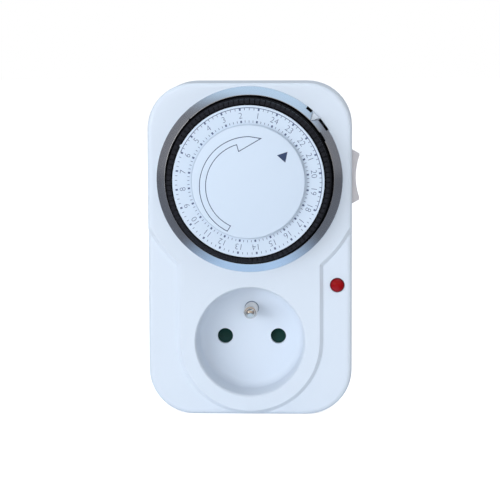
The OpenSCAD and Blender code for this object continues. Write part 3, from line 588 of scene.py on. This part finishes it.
def printed_number(hour):
    bpy.ops.object.select_all(action="DESELECT")
    bpy.ops.object.text_add()
    text = bpy.context.object.data
    text.body = str(hour)
    text.align_x = "CENTER"
    text.size = number_size * MM
    text.extrude = ink_thick * MM / 2
    text.offset = -stroke_trim * MM
    text.resolution_u = 3
    bpy.ops.object.convert(target="MESH")
    number = bpy.context.object
    number.data.transform(
        on_dial(clock_of(hour), number_r)
        @ Matrix.Rotation(radians(90), 4, "X")
        @ Matrix.Translation((0, -number_low * MM, ink_thick * MM / 2))
    )
    bpy.ops.object.mode_set(mode="EDIT")
    bpy.ops.mesh.select_all(action="SELECT")
    bpy.ops.mesh.remove_doubles(threshold=0.0005 * MM)
    bpy.ops.mesh.normals_make_consistent(inside=False)
    bpy.ops.object.mode_set(mode="OBJECT")
    return number


def printed_bar(name, width, low, high):
    """Flat bar of ink, as wide as given, from one radius to another at twelve o'clock."""
    bpy.ops.object.select_all(action="DESELECT")
    bpy.ops.mesh.primitive_cube_add(
        size=MM,
        location=(0, -ink_thick * MM / 2, (low + high) * MM / 2),
        scale=(width, ink_thick, high - low),
    )
    bar = bpy.context.object
    bar.name = name
    bpy.ops.object.transform_apply(location=True, rotation=True, scale=True)
    return bar


def all_round(name, bars, clocks):
    """One piece of copies of the bars at each clock angle."""
    copies = [moved_copy(bar, name, on_dial(clock)) for bar in bars for clock in clocks]
    for bar in bars:
        bpy.data.objects.remove(bar)
    return joined_pieces(name, copies)


def ink(piece, body, finish=pale_ink):
    piece.data.materials.clear()
    piece.data.materials.append(finish)
    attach(piece, body)


ink(joined_pieces("hour_numbers", [printed_number(hour) for hour in hours]), "dial")
hour_clocks = [clock_of(hour) for hour in hours]
quarter_clocks = [clock_of(hour) + hour_step * part / 4 for hour in hours for part in (1, 2, 3)]
for name, clocks, width, outer_row, inner_row in (
    ("hour_marks", hour_clocks, 0.62, (24.5, 25.3), (20.25, 21.05)),
    ("quarter_marks", quarter_clocks, 0.18, (24.55, 25.3), (20.3, 21.05)),
):
    bars = [printed_bar("outer", width, *outer_row), printed_bar("inner", width, *inner_row)]
    ink(all_round(name, bars, clocks), "dial")


def flat_face(name, corners):
    """One flat face between corners given in metres."""
    bpy.ops.object.select_all(action="DESELECT")
    bpy.ops.mesh.primitive_circle_add(vertices=len(corners), radius=MM, fill_type="NGON")
    piece = bpy.context.object
    piece.name = name
    for index, corner in zip(piece.data.polygons[0].vertices, corners):
        piece.data.vertices[index].co = corner
    return piece


def sector_solid(name, corners, start, end, steps):
    """Solid swept round the dial between two clock angles; corners are (radius, y) in mm."""
    turn, middle = Matrix.Rotation(radians(end - 90), 4, "Y"), Vector((0, 0, dial_z * MM))
    piece = flat_face(name, [turn @ Vector((r * MM, y * MM, 0)) + middle for r, y in corners])
    bpy.ops.object.mode_set(mode="EDIT")
    bpy.ops.mesh.select_all(action="SELECT")
    bpy.ops.mesh.spin(steps=steps, angle=radians(end - start), center=middle, axis=(0, 1, 0))
    bpy.ops.mesh.select_all(action="SELECT")
    bpy.ops.mesh.normals_make_consistent(inside=False)
    bpy.ops.object.mode_set(mode="OBJECT")
    return piece


ink_top = ring_y - ink_thick
night_corners = [(night_in, ring_y), (night_out, ring_y), (night_out, ink_top), (night_in, ink_top)]
night_line = sector_solid(
    "night_line", night_corners, clock_of(night_end) - 360, clock_of(night_start), 90
)
ink(night_line, "dial")

# Centre disc: a fixed white disc on the movement's post, printed with the outline of the
# turning arrow and the triangle that points at the time.
disc_r, disc_face, disc_back = 19.7, -60.97, -59.85
rim_round, rim_y, field_round, field_r = 0.1, disc_face + 0.25, 0.12, disc_r - 0.36
groove_out, groove_in, groove_y = disc_r - 0.14, disc_r - 0.24, disc_face + 0.4
print_back, print_thick = disc_face - 0.004, 0.01
arrow_centre, arrow_out, arrow_in, arrow_line = (0.4, -1.6), 17.3, 14.92, 0.26
arrow_tip, barb_tip = (4.82, 15.0), (-3.3, 10.26)
pointer_centre, pointer_r, pointer_clock = (12.12, 8.73), 2.2, 42
centre_disc = turned(
    "centre_disc_face",
    [(0, disc_back), (disc_r, disc_back)]
    + arc_points((disc_r - rim_round, rim_y), rim_round, 0, -90, 3)
    + [(groove_out, groove_y), (groove_in, groove_y)]
    + arc_points((field_r, disc_face + field_round), field_round, 0, -90, 3)
    + [(0, disc_face)],
    centre=(0, dial_z),
    steps=128,
)
centre_disc.data.materials.append(dial_white)
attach(centre_disc, "case")
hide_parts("centre_disc")
dark_ink = printing_ink("disc_ink", (56, 70, 102), (46, 60, 92))


def thickened(piece, depth):
    """Gives a flat piece a depth in mm along Y."""
    only(piece)
    bpy.ops.object.mode_set(mode="EDIT")
    bpy.ops.mesh.select_all(action="SELECT")
    bpy.ops.mesh.extrude_region_move(TRANSFORM_OT_translate={"value": (0, depth * MM, 0)})
    bpy.ops.mesh.select_all(action="SELECT")
    bpy.ops.mesh.normals_make_consistent(inside=False)
    bpy.ops.object.mode_set(mode="OBJECT")
    return piece


def printed_shape(name, outline, line=None):
    """Ink on the disc, from points (x, z) in mm about its middle; a line width leaves its edge."""
    corners = [(x * MM, print_back * MM, (dial_z + z) * MM) for x, z in outline]
    piece = flat_face(name, corners)
    if line:
        bpy.ops.object.mode_set(mode="EDIT")
        bpy.ops.mesh.select_all(action="SELECT")
        bpy.ops.mesh.inset(thickness=line * MM, use_even_offset=True)
        bpy.ops.mesh.delete(type="FACE")
        bpy.ops.object.mode_set(mode="OBJECT")
    ink(thickened(piece, -print_thick), "case", dark_ink)


def turn_of(x, z):
    """Angle of a point about the arrow's centre, in degrees."""
    return degrees(atan2(z - arrow_centre[1], x - arrow_centre[0]))


tail_out, tail_in = turn_of(-7.05, -16.95) + 360, turn_of(-5.92, -15.13) + 360
head_out, head_in = turn_of(0.53, 15.6), turn_of(-3.92, 12.48)
printed_shape(
    "turning_arrow",
    arc_points(arrow_centre, arrow_out, tail_out, head_out, 60)
    + [arrow_tip, barb_tip]
    + arc_points(arrow_centre, arrow_in, head_in, tail_in, 50),
    line=arrow_line,
)
pointer_turn = 90 - pointer_clock
printed_shape(
    "time_pointer", arc_points(pointer_centre, pointer_r, pointer_turn, pointer_turn + 240, 2)
)

# Bezel: a moulded trim ring with vacuum-metallised chrome, pressed into the front shell's
# opening. It has a gap for the time index and small slots where it is hooked in.
ring_in, ring_out, face_y = 29.3, 32.5, -49.0
ring_top, ring_foot, edge_round = -51.45, -49.35, 0.25
lip_out, lip_y = 29.9, face_y + 2.5
slope = 90 - degrees(
    atan2(ring_foot - ring_top - edge_round, ring_out - ring_in - 2 * edge_round)
)
index_clock, index_half = 46.0, 3.25
gap_start, gap_end = index_clock - index_half, index_clock + index_half
wedge_tip, wedge_out, wedge_share, wedge_deep = ring_in + 0.1, ring_out + 0.3, 0.54, 5.5
cut_top, slot_foot, through_y = ring_top - 0.2, face_y + 0.01, face_y + 3
slot_in, slot_out = ring_out - 0.9, ring_out + 0.2
slot_start, slot_end = gap_start - 4.25, gap_end + 8.45
notch_in, notch_out, slit_out = ring_in - 0.2, ring_in + 0.5, ring_in + 0.45
notch_start, notch_end = index_clock + 10, index_clock + 17
slit_start, slit_end = 315.0, 316.2
bezel = turned(
    "bezel_ring",
    [(ring_in, lip_y), (lip_out, lip_y), (lip_out, face_y), (ring_out, face_y)]
    + arc_points((ring_out - edge_round, ring_foot), edge_round, 0, -slope, 3)
    + arc_points((ring_in + edge_round, ring_top + edge_round), edge_round, -slope, -180, 5)
    + [(ring_in, lip_y)],
    centre=(0, dial_z),
    steps=256,
)
half_base = wedge_share * (wedge_out - wedge_tip)
wedge = flat_face("wedge", [
    (x * MM, cut_top * MM, z * MM)
    for x, z in ((0, wedge_tip), (half_base, wedge_out), (-half_base, wedge_out))
])
thickened(wedge, wedge_deep)
wedge.data.transform(on_dial(index_clock, y=0))


def ring_cutter(r_low, r_high, start, end, low_y):
    """Cutter from in front of the ring back to low_y, between two radii and two clock angles."""
    corners = [(r_low, cut_top), (r_high, cut_top), (r_high, low_y), (r_low, low_y)]
    return sector_solid("ring_cutter", corners, start, end, 8)


cut(
    bezel,
    wedge,
    ring_cutter(slot_in, slot_out, slot_start, gap_start, slot_foot),
    ring_cutter(slot_in, slot_out, gap_end, slot_end, slot_foot),
    ring_cutter(notch_in, notch_out, notch_start, notch_end, through_y),
    ring_cutter(notch_in, slit_out, slit_start, slit_end, through_y),
)
smooth(bezel, 30)


def round_place(tree, place, centre):
    """Distance from a line along Y through the centre, and the place along it."""
    about = vector_calculated(tree, "SUBTRACT", place, centre)
    parts = add_node(tree, "ShaderNodeSeparateXYZ", about).outputs
    flat = add_node(tree, "ShaderNodeCombineXYZ", parts["X"], 0.0, parts["Z"]).outputs[0]
    return vector_calculated(tree, "LENGTH", flat), parts["Y"]


# Turned metal: fine rings round the axis, and a slight unevenness of the bright layer
turned_metal, given, made, place = look_group(
    "turned_metal", [("Centre", VECTOR, (0, 0, 0)), ("Lines", FLOAT, 2000)]
)
radius, along = round_place(turned_metal, place, given["Centre"])
track = add_node(turned_metal, "ShaderNodeCombineXYZ", radius, along, 0.0).outputs[0]
rings = noise(turned_metal, track, given["Lines"], 3)
finish_look(turned_metal, given, made, noise(turned_metal, place, 60, 2), rings)
chrome = finish_of(
    "metallised_chrome",
    turned_metal,
    {
        "Color": (0.74, 0.77, 0.81, 1),
        "Shade": (0.68, 0.71, 0.75, 1),
        "Centre": (0, 0, dial_z * MM),
        "Lines": 3000,
        "Roughness": 0.2,
        "Roughness Spread": 0.1,
    },
    bump=0.12,
    Metallic=1.0,
)
bezel.data.materials.append(chrome)
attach(bezel, "case")
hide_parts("bezel")

# Switch: a black microswitch with a red button, and the acetal lever by which the tappets
# press it at the time index.
dark_moulding = plastic("dark_moulding", (62, 62, 66), (50, 50, 54))
dress(dark_moulding, "microswitch")
dress(wire_red, "switch_button")
dress(gear_acetal, "follower")

# Rocker: a grey override key in the right wall. It tips a sprung brass bridge between two
# contacts on a black base.
dress(plastic("rocker_grey", (238, 230, 229), (232, 224, 223)), "rocker")
dress(dark_moulding, "rocker_base")
dress(brass, "rocker_contacts", "rocker_bridge")

# Pilot lamp: a small glass neon bulb behind a domed lens of clear red plastic. The lens is
# pressed into the shell from the front; its red is darkened towards its rim as painted shade.
lens_x, lens_z, lens_r = 30.6, 20, 3.0
domed_lens, given, made, place = look_group(
    "domed_lens", [("Centre", VECTOR, (0, 0, 0)), ("Rim", FLOAT, 0.003)]
)
radius, _ = round_place(domed_lens, place, given["Centre"])
rim_share = calculated(domed_lens, "DIVIDE", radius, given["Rim"])
# Painted shade: the lens's red is blended to a dark red towards its rim, by distance from its
# middle.
depth, ripple = ramp(domed_lens, rim_share, 0.96, 0.62), noise(domed_lens, place, 500, 2)
finish_look(domed_lens, given, made, depth, ripple)
lens_red = finish_of(
    "lens_red",
    domed_lens,
    {
        "Color": rgb(156, 3, 9),
        "Shade": rgb(50, 4, 24),
        "Centre": (lens_x * MM, 0, lens_z * MM),
        "Rim": lens_r * MM,
        "Roughness": 0.08,
        "Roughness Spread": 0.05,
    },
    bump=0.05,
    Specular_IOR_Level=0.3,
)
dress(lens_red, "pilot_lens")
lamp_glass = plastic(
    "lamp_glass", (240, 170, 130), (220, 150, 110), roughness=0.08, Transmission_Weight=0.6
)
dress(lamp_glass, "pilot_lamp")
